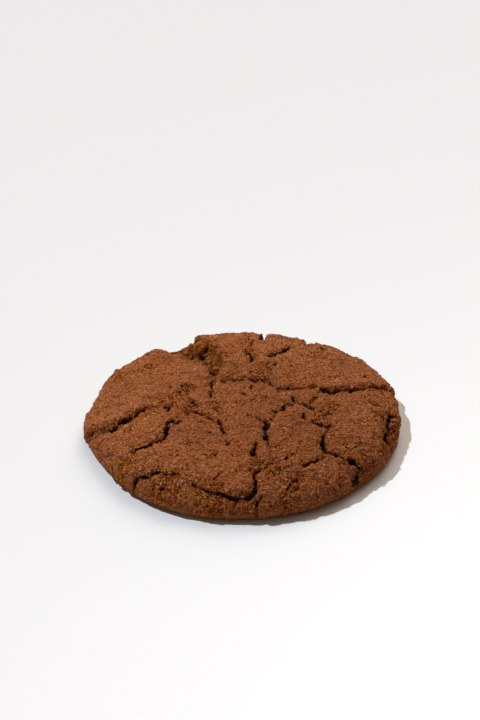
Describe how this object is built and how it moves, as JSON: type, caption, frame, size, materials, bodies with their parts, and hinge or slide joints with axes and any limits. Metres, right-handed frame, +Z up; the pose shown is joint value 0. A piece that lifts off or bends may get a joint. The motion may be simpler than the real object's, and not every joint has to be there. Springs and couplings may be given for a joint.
{
  "type": "coffee cookie",
  "caption": "Round, thick soft-baked cookie with a crackled, crumbly brown top of torn plates, a full rounded rim and a flat base.",
  "frame": {"origin": "centre of the cookie's bounding box, on its flat base", "axes": "+Z up through the thickness; +X and +Y lie in the base, with the picture's viewer on the -Y side"},
  "size_m": [0.0882, 0.0888, 0.0122],
  "materials": {
    "baked_crust": "matt, grainy baked dough, medium brown"
  },
  "bodies": {
    "root": {"cookie": "baked_crust"}
  },
  "joints": []
}
